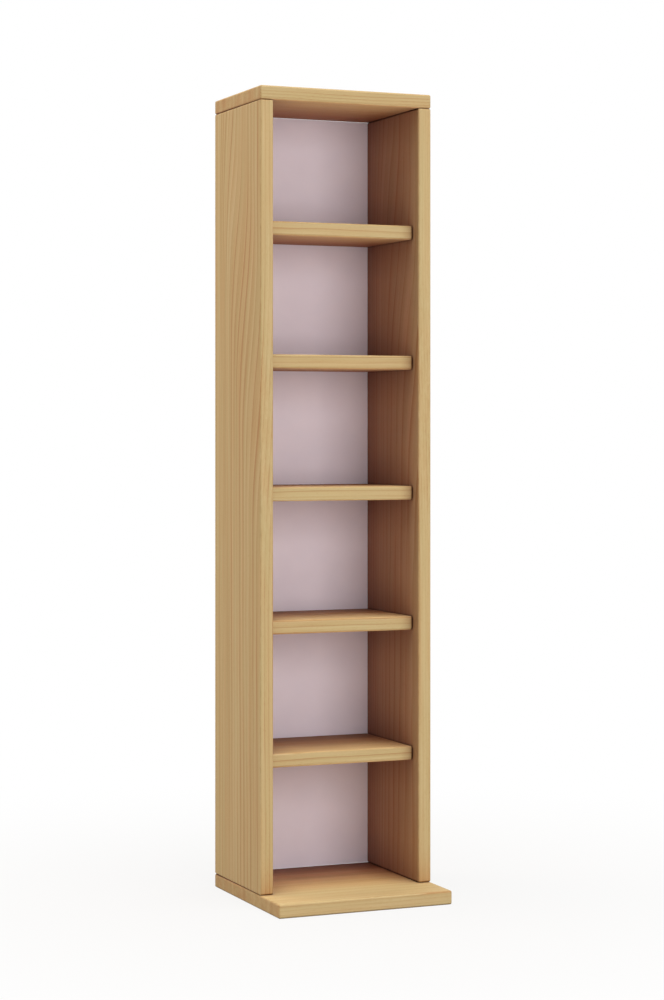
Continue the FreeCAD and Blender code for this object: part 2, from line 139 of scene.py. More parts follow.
@dataclass(frozen=True)
class Lean:
    """A stretch of a board in which the growth rings lean backwards.

    Attributes:
        heights_mm: Height where the lean starts and the height where it ends, in mid depth.
        slant: How much lower that stretch lies for each step towards the front.
        depths_mm: Depth up to which the rings move all the way, and depth past which they stay.
        shift_mm: How far they move.
    """

    heights_mm: Range
    slant: float
    depths_mm: Range
    shift_mm: float


@dataclass(frozen=True)
class FaceToneAndShade:
    """The colour of one face of a board beside the wood's own, front to back, mostly painted light and
    shade.

    Attributes:
        facing: The way that the face looks.
        stops: Depths in millimetres, each with its share of red, green and blue.
        corner: Painted shade: what is left of red, green and blue where other boards close in all round.
        reach_mm: How far off another board counts for that.
        from_x_mm: Place to the right of which it counts.
    """

    facing: tuple[float, float, float]
    stops: Stops
    corner: Shares = (0.45, 0.32, 0.4)
    reach_mm: float = 45.0
    from_x_mm: float = -1000.0


EVEN: Stops = ((-60.0, PLAIN), (0.0, PLAIN))
# Painted shade on the inner walls, darker and redder towards the back.
WALL_SHADE_STOPS: Stops = (
    (-55.0, (1.0, 0.95, 0.92)), (-20.0, (0.93, 0.72, 0.8)), (85.0, (0.8, 0.57, 0.68)))
SAPWOOD_TONE: Shares = (1.04, 1.08, 1.09)
# Painted shade on the roof, which lies full in the top light.
ROOF_SHADE_TONE: Shares = (0.78, 0.72, 0.63)


class Face(Enum):
    """The faces whose colour departs from that of the wood.

    Inside the tower the faces carry painted shade, darker and redder towards the back and deepest
    in the corners, while the undersides and tops carry painted light towards the front and middle.
    The foot of the front edges carries painted shade, redder where the base closes in, and the edge
    of a shelf carries a painted shadow at its right end, where the side stands before it. The left
    side has paler sapwood along its rear, and the roof is painted a shade browner than the rest, as
    painted shade against the top light.
    """

    LEFT_WALL = FaceToneAndShade((1.0, 0.0, 0.0), WALL_SHADE_STOPS)
    RIGHT_WALL = FaceToneAndShade((-1.0, 0.0, 0.0), WALL_SHADE_STOPS)
    # Painted light on the undersides and tops towards the front and middle, painted shade towards the
    # back.
    UNDERSIDE = FaceToneAndShade((0.0, 0.0, -1.0), ((-25.0, (1.38, 1.22, 1.22)), (60.0, (0.83, 0.46, 0.41))))
    SHELF_TOP = FaceToneAndShade((0.0, 0.0, 1.0), (
        (-20.0, (1.1, 1.01, 0.94)), (20.0, (1.2, 1.0, 0.93)), (45.0, (1.02, 0.74, 0.67)),
        (65.0, (0.7, 0.45, 0.39)), (85.0, (0.57, 0.38, 0.35))))
    BASE_TOP = FaceToneAndShade((0.0, 0.0, 1.0), (
        (-80.0, (0.98, 1.0, 0.99)), (-40.0, (1.15, 1.14, 1.07)), (-10.0, (1.25, 1.08, 0.95)),
        (20.0, (1.43, 1.17, 1.1)), (45.0, (1.26, 0.91, 0.93)), (64.0, (0.77, 0.44, 0.4)),
        (85.0, (0.48, 0.25, 0.22))))
    # Painted shade at the foot of the front edges, where the base closes in.
    FRONT_EDGE = FaceToneAndShade((0.0, -1.0, 0.0), EVEN, corner=(0.8, 0.44, 0.26))
    # Painted shadow of the side on the right end of each shelf's edge.
    SHELF_EDGE = FaceToneAndShade(
        (0.0, -1.0, 0.0), EVEN, corner=(0.3, 0.08, 0.04), reach_mm=16.0, from_x_mm=0.0)
    SAPWOOD = FaceToneAndShade(
        (-1.0, 0.0, 0.0), ((45.0, PLAIN), (72.0, SAPWOOD_TONE), (96.0, SAPWOOD_TONE)), corner=PLAIN)
    # Painted shade over the whole roof, against the top light.
    ROOF = FaceToneAndShade((0.0, 0.0, 1.0), ((0.0, ROOF_SHADE_TONE), (90.0, ROOF_SHADE_TONE)))


SHELF_FACES = (Face.SHELF_TOP, Face.UNDERSIDE, Face.SHELF_EDGE)


@dataclass(frozen=True)
class BoardCut:
    """How one board was sawn from the log.

    Attributes:
        grain: The direction of the fibres.
        pith_mm: Place of the log's heart beside the board, across the fibres.
        tilt_deg: Lean of the log's heart against the board, about the two cross axes.
        ring_mm: Width of one growth ring.
        contrast: How strongly the rings show on the faces, beside the usual.
        edge_contrast: The same for the front and rear edges.
        faces: The board's faces that have a tone of their own.
        lean: Where the rings lean, if they do.
    """

    grain: Grain
    pith_mm: tuple[float, float]
    tilt_deg: tuple[float, float]
    ring_mm: float
    contrast: float = 1.0
    edge_contrast: float = 1.0
    faces: tuple[Face, ...] = ()
    lean: Lean | None = None


@dataclass(frozen=True)
class Beech:
    """Beech, planed and lacquered for the boards, turned and left bare for the dowels.

    Even, low-contrast growth rings with thin reddish late wood, fine fibre streaks along the
    board and short dark flecks of ray cells, in a colour that wanders a little between cool and
    warm. The lacquer is matt and leaves no clear highlight. Hands have darkened and polished the
    rounded arrises in patches.
    """

    name: str = "beech_planed_matt_lacquer"

    # The wood from its palest to its darkest, and how it wanders between cool and warm.
    pale_wood: str = "#CDB789"
    mid_wood: str = "#C2A776"
    dark_wood: str = "#B68E5E"
    cool_tone: Shares = (0.984, 1.018, 1.022)
    warm_tone: Shares = (1.016, 0.982, 0.978)
    flush_width_mm: float = 10.0
    flush_length_mm: float = 150.0
    flush_range: Range = (0.3, 0.7)

    # The faces with painted light and shade and the sapwood tone, and the painted shade in the creases
    # where boards meet.
    tone_depths_mm: Range = (-100.0, 100.0)
    facing_range: Range = (0.3, 0.9)
    joint_shade_tone: Shares = (0.22, 0.17, 0.1)
    joint_shade_reach_mm: float = 2.4
    shade_samples: int = 16

    # Growth rings: how they wander, how the late wood comes in over one ring, and how it
    # differs from year to year.
    drift_mm: float = 1.8
    drift_length_mm: float = 200.0
    drift_width_mm: float = 60.0
    ring_profile: tuple[tuple[float, float], ...] = (
        (0.0, 0.0), (0.12, 0.28), (0.5, 0.35), (0.75, 0.55), (0.93, 1.0))
    ring_mean: float = 0.3
    vigour_width_mm: float = 7.0
    vigour_length_mm: float = 500.0
    vigour_range: Range = (0.35, 0.65)
    vigour_least: float = 0.45

    # The real fibres and ray flecks are 0.1 to 0.2 mm wide and would not show in a render with
    # about 1 mm to the pixel, so their widths are drawn that coarse.
    streak_width_mm: float = 1.3
    streak_length_mm: float = 70.0
    fleck_width_mm: float = 0.8
    fleck_length_mm: float = 4.0
    fleck_range: Range = (0.62, 0.74)

    # Broad bands along the board, and the rays across its sawn ends.
    band_width_mm: float = 28.0
    band_length_mm: float = 400.0
    ray_width_mm: float = 9.0
    ray_length_mm: float = 120.0

    # How far each of these darkens the wood, as a share of the way from pale to dark.
    base_depth: float = 0.4
    ring_depth: float = 0.75
    streak_depth: float = 0.7
    band_depth: float = 0.38
    fleck_depth: float = 0.15
    end_grain_depth: float = 0.2
    ray_depth: float = 1.2

    # Wear on the arrises: where the surface counts as rounded, and the size of the patches.
    wear_patch_mm: float = 14.0
    wear_tone: Shares = (0.9, 0.87, 0.83)
    wear_polish: float = 0.14
    arris_range: Range = (0.98, 0.85)
    patch_range: Range = (0.4, 0.62)

    # The surface itself.
    roughness: float = 0.64
    roughness_spread: float = 0.08
    ior: float = 1.5
    gloss: float = 0.2
    relief_mm: float = 0.04
    relief_strength: float = 0.5

    def make(self, name: str, cut: BoardCut) -> bpy.types.Material:
        """Builds the finish of one board.

        Args:
            name: The board's name.
            cut: How the board was sawn.

        Returns:
            The board's material.
        """
        material, tree = new_material(f"{self.name}_{name}")
        place = add_node(tree, "ShaderNodeTexCoord")
        log = self._log(tree, place.outputs["Object"], cut)
        streaks = self._fibre_noise(tree, log, self.streak_width_mm, self.streak_length_mm, detail=3.0)
        wear = self._wear(tree, place)
        colour = self._wood(tree, log, streaks, place, cut)
        handled = add_node(tree, "ShaderNodeMix", {
            "Factor": wear, 4: PLAIN, 5: self.wear_tone,
        }, data_type="VECTOR")
        # Painted light and shade of the faces and creases, then the wear on the arrises, over the wood.
        for tone in (*self._face_tones_and_shade(tree, place, cut), self._joint_shade(tree), handled.outputs[1]):
            step = add_node(tree, "ShaderNodeVectorMath", {0: colour, 1: tone}, operation="MULTIPLY")
            colour = step.outputs["Vector"]
        matt = add_node(tree, "ShaderNodeMapRange", {
            "Value": streaks,
            "To Min": self.roughness - self.roughness_spread,
            "To Max": self.roughness + self.roughness_spread,
        })
        rough = add_node(tree, "ShaderNodeMath", {
            0: wear, 1: -self.wear_polish, 2: matt.outputs["Result"],
        }, operation="MULTIPLY_ADD")
        relief = add_node(tree, "ShaderNodeBump", {
            "Height": streaks, "Strength": self.relief_strength, "Distance": self.relief_mm * MM,
        })
        surface = add_node(tree, "ShaderNodeBsdfPrincipled", {
            "Base Color": colour,
            "Roughness": rough.outputs["Value"],
            "IOR": self.ior,
            "Specular IOR Level": self.gloss,
            "Normal": relief.outputs["Normal"],
        })
        add_node(tree, "ShaderNodeOutputMaterial", {"Surface": surface.outputs["BSDF"]})
        return material

    def _log(self, tree: Tree, place: Socket, cut: BoardCut) -> Socket:
        """Place in the log, with its heart along Z.

        Args:
            tree: The material's tree.
            place: Place in the row's frame.
            cut: How the board was sawn.

        Returns:
            The vector socket.
        """
        moved = self._leaning(tree, place, cut.lean) if cut.lean else place
        tilt = [math.radians(angle) for angle in cut.tilt_deg]
        log = add_node(tree, "ShaderNodeMapping", {
            "Vector": moved,
            "Location": (-cut.pith_mm[0] * MM, -cut.pith_mm[1] * MM, 0.0),
            "Rotation": (tilt[0], cut.grain.turn + tilt[1], 0.0),
        })
        return log.outputs["Vector"]

    def _leaning(self, tree: Tree, place: Socket, lean: Lean) -> Socket:
        """Moves the place in the log so that the rings lean backwards down the board.

        Args:
            tree: The material's tree.
            place: Place in the row's frame.
            lean: Where and how far they lean.

        Returns:
            The moved place.
        """
        parts = add_node(tree, "ShaderNodeSeparateXYZ", {"Vector": place})
        level = add_node(tree, "ShaderNodeMath", {
            0: parts.outputs["Y"], 1: -lean.slant, 2: parts.outputs["Z"],
        }, operation="MULTIPLY_ADD")
        shares = []
        for value, (start, end) in ((level.outputs["Value"], lean.heights_mm),
                                    (parts.outputs["Y"], lean.depths_mm[::-1])):
            shares.append(add_node(tree, "ShaderNodeMapRange", {
                "Value": value, "From Min": start * MM, "From Max": end * MM,
            }, interpolation_type="SMOOTHSTEP").outputs["Result"])
        both = add_node(tree, "ShaderNodeMath", {0: shares[0], 1: shares[1]}, operation="MULTIPLY")
        shift = add_node(tree, "ShaderNodeVectorMath", {
            0: (0.0, -lean.shift_mm * MM, 0.0), "Scale": both.outputs["Value"],
        }, operation="SCALE")
        moved = add_node(tree, "ShaderNodeVectorMath", {
            0: place, 1: shift.outputs["Vector"],
        }, operation="ADD")
        return moved.outputs["Vector"]

    def _fibre_noise(self, tree: Tree, log: Socket, width_mm: float, length_mm: float,
                     detail: float) -> Socket:
        """Noise drawn out along the fibres.

        Args:
            tree: The material's tree.
            log: Place in the log, with the heart along Z.
            width_mm: Size of a streak across the fibres.
            length_mm: Size of a streak along the fibres.
            detail: Octaves of finer noise.

        Returns:
            The noise's value.
        """
        across = 1 / (width_mm * MM)
        along = 1 / (length_mm * MM)
        stretch = add_node(tree, "ShaderNodeMapping", {"Vector": log, "Scale": (across, across, along)})
        noise = add_node(tree, "ShaderNodeTexNoise", {
            "Vector": stretch.outputs["Vector"], "Scale": 1.0, "Detail": detail,
        })
        return noise.outputs["Fac"]

    def _late_wood(self, tree: Tree, log: Socket, ring_mm: float) -> Socket:
        """The dark line that ends each growth ring.

        Args:
            tree: The material's tree.
            log: Place in the log, with the heart along Z.
            ring_mm: Width of one ring.

        Returns:
            Below zero in the early wood, above zero in the late wood and zero on average.
        """
        across = 1 / (self.drift_width_mm * MM)
        along = 1 / (self.drift_length_mm * MM)
        stretch = add_node(tree, "ShaderNodeMapping", {"Vector": log, "Scale": (across, across, along)})
        drift = add_node(tree, "ShaderNodeTexNoise", {
            "Vector": stretch.outputs["Vector"], "Scale": 1.0, "Detail": 2.0,
        })
        centred = add_node(tree, "ShaderNodeVectorMath", {
            0: drift.outputs["Color"], 1: (NOISE_MEAN,) * 3,
        }, operation="SUBTRACT")
        moved = add_node(tree, "ShaderNodeVectorMath", {
            0: centred.outputs["Vector"], 1: (2 * self.drift_mm * MM,) * 3, 2: log,
        }, operation="MULTIPLY_ADD")
        wave = add_node(tree, "ShaderNodeTexWave", {
            "Vector": moved.outputs["Vector"],
            "Scale": 2 * math.pi / (WAVE_RADIANS * ring_mm * MM),
            "Distortion": 0.0,
        }, wave_type="RINGS", rings_direction="Z", wave_profile="SAW")
        line = add_node(tree, "ShaderNodeValToRGB", {"Fac": wave.outputs["Fac"]}, [
            (place, (depth, depth, depth, 1.0)) for place, depth in self.ring_profile
        ])
        years = self._fibre_noise(tree, log, self.vigour_width_mm, self.vigour_length_mm, detail=0.0)
        vigour = add_node(tree, "ShaderNodeMapRange", {
            "Value": years,
            "From Min": self.vigour_range[0], "From Max": self.vigour_range[1],
            "To Min": self.vigour_least, "To Max": 1.0,
        })
        shown = add_node(tree, "ShaderNodeMath", {
            0: line.outputs["Color"], 1: vigour.outputs["Result"], 2: -self.ring_mean,
        }, operation="MULTIPLY_ADD")
        return shown.outputs["Value"]

    def _darkness(self, tree: Tree, log: Socket, streaks: Socket, place: Node,
                  cut: BoardCut) -> Socket:
        """Adds up what darkens the wood: late wood, streaks, bands, flecks and the sawn ends' rays.

        Args:
            tree: The material's tree.
            log: Place in the log, with the heart along Z.
            streaks: Fine fibre noise.
            place: The node with the place and the surface's direction in the row's frame.
            cut: How the board was sawn.

        Returns:
            The place on the colour ramp.
        """
        late = self._late_wood(tree, log, cut.ring_mm)
        bands = self._fibre_noise(tree, log, self.band_width_mm, self.band_length_mm, detail=1.0)
        specks = self._fibre_noise(tree, log, self.fleck_width_mm, self.fleck_length_mm, detail=0.0)
        flecks = add_node(tree, "ShaderNodeMapRange", {
            "Value": specks, "From Min": self.fleck_range[0], "From Max": self.fleck_range[1],
        })
        parts = add_node(tree, "ShaderNodeSeparateXYZ", {"Vector": place.outputs["Normal"]})
        ends = add_node(tree, "ShaderNodeMath", {0: parts.outputs[cut.grain.value]}, operation="ABSOLUTE")
        edges = add_node(tree, "ShaderNodeMath", {0: parts.outputs["Y"]}, operation="ABSOLUTE")
        ring_depth = add_node(tree, "ShaderNodeMath", {
            0: edges.outputs["Value"],
            1: self.ring_depth * (cut.edge_contrast - cut.contrast),
            2: self.ring_depth * cut.contrast,
        }, operation="MULTIPLY_ADD")
        broad = 1 / (self.ray_length_mm * MM)
        narrow = 1 / (self.ray_width_mm * MM)
        stretch = add_node(tree, "ShaderNodeMapping", {
            "Vector": place.outputs["Object"], "Scale": (broad, narrow, broad),
        })
        rays = add_node(tree, "ShaderNodeTexNoise", {
            "Vector": stretch.outputs["Vector"], "Scale": 1.0, "Detail": 1.0,
        })
        end_depth = add_node(tree, "ShaderNodeMath", {
            0: rays.outputs["Fac"],
            1: self.ray_depth,
            2: self.end_grain_depth - self.ray_depth * NOISE_MEAN,
        }, operation="MULTIPLY_ADD")
        total = self.base_depth - (self.streak_depth + self.band_depth) * NOISE_MEAN
        for value, depth in ((late, ring_depth.outputs["Value"]),
                             (streaks, self.streak_depth),
                             (bands, self.band_depth),
                             (flecks.outputs["Result"], self.fleck_depth),
                             (ends.outputs["Value"], end_depth.outputs["Value"])):
            step = add_node(tree, "ShaderNodeMath", {
                0: value, 1: depth, 2: total,
            }, operation="MULTIPLY_ADD")
            total = step.outputs["Value"]
        return total

    def _wood(self, tree: Tree, log: Socket, streaks: Socket, place: Node, cut: BoardCut) -> Socket:
        """The wood's own colour.

        Args:
            tree: The material's tree.
            log: Place in the log, with the heart along Z.
            streaks: Fine fibre noise.
            place: The node with the place and the surface's direction in the row's frame.
            cut: How the board was sawn.

        Returns:
            The colour, as a vector socket.
        """
        ramp = add_node(tree, "ShaderNodeValToRGB", {
            "Fac": self._darkness(tree, log, streaks, place, cut),
        }, [
            (0.0, linear(self.pale_wood)),
            (0.5, linear(self.mid_wood)),
            (1.0, linear(self.dark_wood)),
        ])
        flush = add_node(tree, "ShaderNodeMapRange", {
            "Value": self._fibre_noise(tree, log, self.flush_width_mm, self.flush_length_mm, detail=1.0),
            "From Min": self.flush_range[0], "From Max": self.flush_range[1],
        })
        hue = add_node(tree, "ShaderNodeMix", {
            "Factor": flush.outputs["Result"], 4: self.cool_tone, 5: self.warm_tone,
        }, data_type="VECTOR")
        wood = add_node(tree, "ShaderNodeVectorMath", {
            0: ramp.outputs["Color"], 1: hue.outputs[1],
        }, operation="MULTIPLY")
        return wood.outputs["Vector"]

    def _face_tones_and_shade(self, tree: Tree, place: Node, cut: BoardCut) -> list[Socket]:
        """The painted light and shade of the faces that depart from the wood, deepest in the corners, and
        the sapwood tone.

        Args:
            tree: The material's tree.
            place: The node with the place and the surface's direction in the row's frame.
            cut: How the board was sawn.

        Returns:
            One tone for each such face, which is plain on all other faces.
        """
        front, back = self.tone_depths_mm
        parts = add_node(tree, "ShaderNodeSeparateXYZ", {"Vector": place.outputs["Object"]})
        depth = add_node(tree, "ShaderNodeMapRange", {
            "Value": parts.outputs["Y"], "From Min": front * MM, "From Max": back * MM,
        })
        openness: dict[float, Node] = {}
        tones = []
        for tone in (face.value for face in cut.faces):
            if tone.reach_mm not in openness:
                # Painted shade where other boards close in, from ambient occlusion.
                openness[tone.reach_mm] = add_node(tree, "ShaderNodeAmbientOcclusion", {
                    "Distance": tone.reach_mm * MM,
                }, samples=self.shade_samples)
            run = add_node(tree, "ShaderNodeValToRGB", {"Fac": depth.outputs["Result"]}, [
                ((depth_mm - front) / (back - front), (*shares, 1.0)) for depth_mm, shares in tone.stops
            ])
            # Past this place the painted shade counts only to the right, so the side shades the shelf
            # edge.
            spared = add_node(tree, "ShaderNodeMath", {
                0: parts.outputs["X"], 1: tone.from_x_mm * MM,
            }, operation="LESS_THAN")
            clear = add_node(tree, "ShaderNodeMath", {
                0: openness[tone.reach_mm].outputs["AO"], 1: spared.outputs["Value"],
            }, operation="MAXIMUM")
            corners = add_node(tree, "ShaderNodeMix", {
                "Factor": clear.outputs["Value"], 4: tone.corner, 5: PLAIN,
            }, data_type="VECTOR")
            deep = add_node(tree, "ShaderNodeVectorMath", {
                0: run.outputs["Color"], 1: corners.outputs[1],
            }, operation="MULTIPLY")
            facing = add_node(tree, "ShaderNodeVectorMath", {
                0: place.outputs["Normal"], 1: tone.facing,
            }, operation="DOT_PRODUCT")
            share = add_node(tree, "ShaderNodeMapRange", {
                "Value": facing.outputs["Value"],
                "From Min": self.facing_range[0], "From Max": self.facing_range[1],
            })
            shown = add_node(tree, "ShaderNodeMix", {
                "Factor": share.outputs["Result"], 4: PLAIN, 5: deep.outputs["Vector"],
            }, data_type="VECTOR")
            tones.append(shown.outputs[1])
        return tones

    def _joint_shade(self, tree: Tree) -> Socket:
        """Painted shade in the creases where two boards meet and where a board meets the floor.

        Args:
            tree: The material's tree.

        Returns:
            The painted shade's tone, which is plain in the open.
        """
        # Painted shade from ambient occlusion in the creases and at the foot on the floor.
        openness = add_node(tree, "ShaderNodeAmbientOcclusion", {
            "Distance": self.joint_shade_reach_mm * MM,
        }, samples=self.shade_samples)
        line = add_node(tree, "ShaderNodeMix", {
            "Factor": openness.outputs["AO"], 4: self.joint_shade_tone, 5: PLAIN,
        }, data_type="VECTOR")
        return line.outputs[1]

    def _wear(self, tree: Tree, place: Node) -> Socket:
        """How far hands have worn the rounded arrises, in patches along them.

        Args:
            tree: The material's tree.
            place: The node with the place and the surface's direction in the row's frame.

        Returns:
            Zero on the flat faces, up to one in a worn patch.
        """
        size = add_node(tree, "ShaderNodeVectorMath", {0: place.outputs["Normal"]}, operation="ABSOLUTE")
        parts = add_node(tree, "ShaderNodeSeparateXYZ", {"Vector": size.outputs["Vector"]})
        most = parts.outputs["X"]
        for axis in ("Y", "Z"):
            step = add_node(tree, "ShaderNodeMath", {0: most, 1: parts.outputs[axis]}, operation="MAXIMUM")
            most = step.outputs["Value"]
        arris = add_node(tree, "ShaderNodeMapRange", {
            "Value": most, "From Min": self.arris_range[0], "From Max": self.arris_range[1],
        })
        noise = add_node(tree, "ShaderNodeTexNoise", {
            "Vector": place.outputs["Object"], "Scale": 1 / (self.wear_patch_mm * MM), "Detail": 3.0,
        })
        patches = add_node(tree, "ShaderNodeMapRange", {
            "Value": noise.outputs["Fac"],
            "From Min": self.patch_range[0], "From Max": self.patch_range[1],
        })
        worn = add_node(tree, "ShaderNodeMath", {
            0: arris.outputs["Result"], 1: patches.outputs["Result"],
        }, operation="MULTIPLY")
        return worn.outputs["Value"]


@dataclass(frozen=True)
class LacqueredHardboard:
    """Thin hardboard, sprayed pale on its inner face and left raw at the rear.

    The sprayed face is smooth and even with a faint mottle. The rear is brown fibre with the
    print of the press screen.
    """

    lacquer: str = "#F5EBF6"
    lacquer_shade: str = "#F1E7F3"
    fibre: str = "#8A6446"
    fibre_shade: str = "#6F4E36"
    mottle_mm: float = 35.0
    screen_mm: float = 1.5
    shade_range: Range = (0.3, 0.7)
    # A surface that looks forward by more than this is sprayed.
    sprayed_facing: float = -0.5
    roughness: float = 0.6
    gloss: float = 0.2
    relief_mm: float = 0.05
    relief_strength: float = 0.3

    def make(self) -> bpy.types.Material:
        """Builds the finish of the back panel.

        Returns:
            The panel's material.
        """
        material, tree = new_material("hardboard_sprayed_one_face")
        place = add_node(tree, "ShaderNodeTexCoord")
        low, high = self.shade_range
        mottle = add_node(tree, "ShaderNodeTexNoise", {
            "Vector": place.outputs["Object"], "Scale": 1 / (self.mottle_mm * MM), "Detail": 2.0,
        })
        pale = add_node(tree, "ShaderNodeValToRGB", {"Fac": mottle.outputs["Fac"]}, [
            (low, linear(self.lacquer_shade)), (high, linear(self.lacquer)),
        ])
        felt = add_node(tree, "ShaderNodeTexNoise", {
            "Vector": place.outputs["Object"], "Scale": 1 / (self.screen_mm * MM), "Detail": 4.0,
        })
        brown = add_node(tree, "ShaderNodeValToRGB", {"Fac": felt.outputs["Fac"]}, [
            (low, linear(self.fibre_shade)), (high, linear(self.fibre)),
        ])
        facing = add_node(tree, "ShaderNodeSeparateXYZ", {"Vector": place.outputs["Normal"]})
        raw = add_node(tree, "ShaderNodeMath", {
            0: facing.outputs["Y"], 1: self.sprayed_facing,
        }, operation="GREATER_THAN")
        colour = add_node(tree, "ShaderNodeMix", {
            "Factor": raw.outputs["Value"], 6: pale.outputs["Color"], 7: brown.outputs["Color"],
        }, data_type="RGBA")
        relief = add_node(tree, "ShaderNodeBump", {
            "Height": felt.outputs["Fac"],
            "Strength": self.relief_strength,
            "Distance": self.relief_mm * MM,
        })
        surface = add_node(tree, "ShaderNodeBsdfPrincipled", {
            "Base Color": colour.outputs[2],
            "Roughness": self.roughness,
            "Specular IOR Level": self.gloss,
            "Normal": relief.outputs["Normal"],
        })
        add_node(tree, "ShaderNodeOutputMaterial", {"Surface": surface.outputs["BSDF"]})
        return material


@dataclass(frozen=True)
class DrawnSteel:
    """Steel drawn to wire or turned, then plated bright or left bare.

    Fine marks of the tool spread the highlights and give the metal a faint mottle.
    """

    name: str
    metal: str
    metal_shade: str
    roughness: float
    roughness_spread: float = 0.08
    # The real marks are some hundredths of a millimetre wide, so they are drawn coarser to show.
    line_mm: float = 0.4
    shade_range: Range = (0.25, 0.75)

    def make(self) -> bpy.types.Material:
        """Builds the metal's finish.

        Returns:
            The metal's material.
        """
        material, tree = new_material(self.name)
        place = add_node(tree, "ShaderNodeTexCoord")
        low, high = self.shade_range
        lines = add_node(tree, "ShaderNodeTexNoise", {
            "Vector": place.outputs["Object"], "Scale": 1 / (self.line_mm * MM), "Detail": 3.0,
        })
        colour = add_node(tree, "ShaderNodeValToRGB", {"Fac": lines.outputs["Fac"]}, [
            (low, linear(self.metal_shade)), (high, linear(self.metal)),
        ])
        rough = add_node(tree, "ShaderNodeMapRange", {
            "Value": lines.outputs["Fac"],
            "To Min": self.roughness - self.roughness_spread,
            "To Max": self.roughness + self.roughness_spread,
        })
        surface = add_node(tree, "ShaderNodeBsdfPrincipled", {
            "Base Color": colour.outputs["Color"], "Metallic": 1.0, "Roughness": rough.outputs["Result"],
        })
        add_node(tree, "ShaderNodeOutputMaterial", {"Surface": surface.outputs["BSDF"]})
        return material


@dataclass(frozen=True)
class MouldedCap:
    """Polyethylene, moulded in a wood colour.

    The spark-eroded mould leaves a fine grit that dulls the plastic and breaks up its colour.
    """

    plastic: str = "#C7A473"
    plastic_shade: str = "#BE9A69"
    # The real grit is about 0.05 mm, so it is drawn coarser to show.
    grit_mm: float = 0.6
    shade_range: Range = (0.3, 0.7)
    roughness: float = 0.5
    relief_mm: float = 0.03
    relief_strength: float = 0.2

    def make(self) -> bpy.types.Material:
        """Builds the cap's finish.

        Returns:
            The cap's material.
        """
        material, tree = new_material("polyethylene_moulded_wood_colour")
        place = add_node(tree, "ShaderNodeTexCoord")
        low, high = self.shade_range
        grit = add_node(tree, "ShaderNodeTexNoise", {
            "Vector": place.outputs["Object"], "Scale": 1 / (self.grit_mm * MM), "Detail": 2.0,
        })
        colour = add_node(tree, "ShaderNodeValToRGB", {"Fac": grit.outputs["Fac"]}, [
            (low, linear(self.plastic_shade)), (high, linear(self.plastic)),
        ])
        relief = add_node(tree, "ShaderNodeBump", {
            "Height": grit.outputs["Fac"],
            "Strength": self.relief_strength,
            "Distance": self.relief_mm * MM,
        })
        surface = add_node(tree, "ShaderNodeBsdfPrincipled", {
            "Base Color": colour.outputs["Color"],
            "Roughness": self.roughness,
            "Normal": relief.outputs["Normal"],
        })
        add_node(tree, "ShaderNodeOutputMaterial", {"Surface": surface.outputs["BSDF"]})
        return material


@dataclass
class Boards:
    """The wooden boards of the carcass and the loose shelves, each with its own cut."""

    wood: Beech = Beech()
    cuts: dict[str, BoardCut] = field(default_factory=lambda: {
        "left_side_panel": BoardCut(
            Grain.UPRIGHT, pith_mm=(340.0, -260.0), tilt_deg=(0.2, 0.1), ring_mm=4.4, contrast=1.8,
            faces=(Face.LEFT_WALL, Face.FRONT_EDGE, Face.SAPWOOD),
            lean=Lean(heights_mm=(810.0, 450.0), slant=3.0, depths_mm=(40.0, 105.0), shift_mm=36.0)),
        "right_side_panel": BoardCut(
            Grain.UPRIGHT, pith_mm=(-545.0, -163.0), tilt_deg=(-0.1, 0.2), ring_mm=3.4, edge_contrast=0.9,
            faces=(Face.RIGHT_WALL, Face.FRONT_EDGE),
            lean=Lean(heights_mm=(840.0, 480.0), slant=2.5, depths_mm=(30.0, 100.0), shift_mm=32.0)),
        "top_panel": BoardCut(
            Grain.ACROSS, pith_mm=(-560.0, 290.0), tilt_deg=(0.4, 0.3), ring_mm=2.2,
            contrast=0.9, edge_contrast=0.95, faces=(Face.UNDERSIDE, Face.ROOF)),
        "base_panel": BoardCut(
            Grain.ACROSS, pith_mm=(250.0, 300.0), tilt_deg=(-0.3, 0.4), ring_mm=2.3,
            contrast=1.1, edge_contrast=1.2, faces=(Face.BASE_TOP,)),
        "shelf_1": BoardCut(
            Grain.ACROSS, pith_mm=(-555.0, 310.0), tilt_deg=(0.4, -0.3), ring_mm=2.8,
            contrast=0.9, edge_contrast=1.2, faces=SHELF_FACES),
        "shelf_2": BoardCut(
            Grain.ACROSS, pith_mm=(-750.0, 330.0), tilt_deg=(-0.3, 0.4), ring_mm=2.7,
            contrast=0.9, edge_contrast=1.3, faces=SHELF_FACES),
        "shelf_3": BoardCut(
            Grain.ACROSS, pith_mm=(-280.0, 300.0), tilt_deg=(0.4, 0.3), ring_mm=2.5,
            contrast=0.9, edge_contrast=1.5, faces=SHELF_FACES),
        "shelf_4": BoardCut(
            Grain.ACROSS, pith_mm=(-460.0, 320.0), tilt_deg=(-0.4, -0.4), ring_mm=2.7,
            contrast=0.9, edge_contrast=1.3, faces=SHELF_FACES),
        "shelf_5": BoardCut(
            Grain.ACROSS, pith_mm=(20.0, 310.0), tilt_deg=(0.3, 0.4), ring_mm=2.6,
            contrast=0.9, edge_contrast=1.3, faces=SHELF_FACES),
    })

    def dress(self, nodes: dict[str, bpy.types.Object]) -> None:
        """Finishes every board with wood from its own place in the log.

        Args:
            nodes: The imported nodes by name.
        """
        for name, cut in self.cuts.items():
            put_finish(nodes[name], self.wood.make(name, cut))


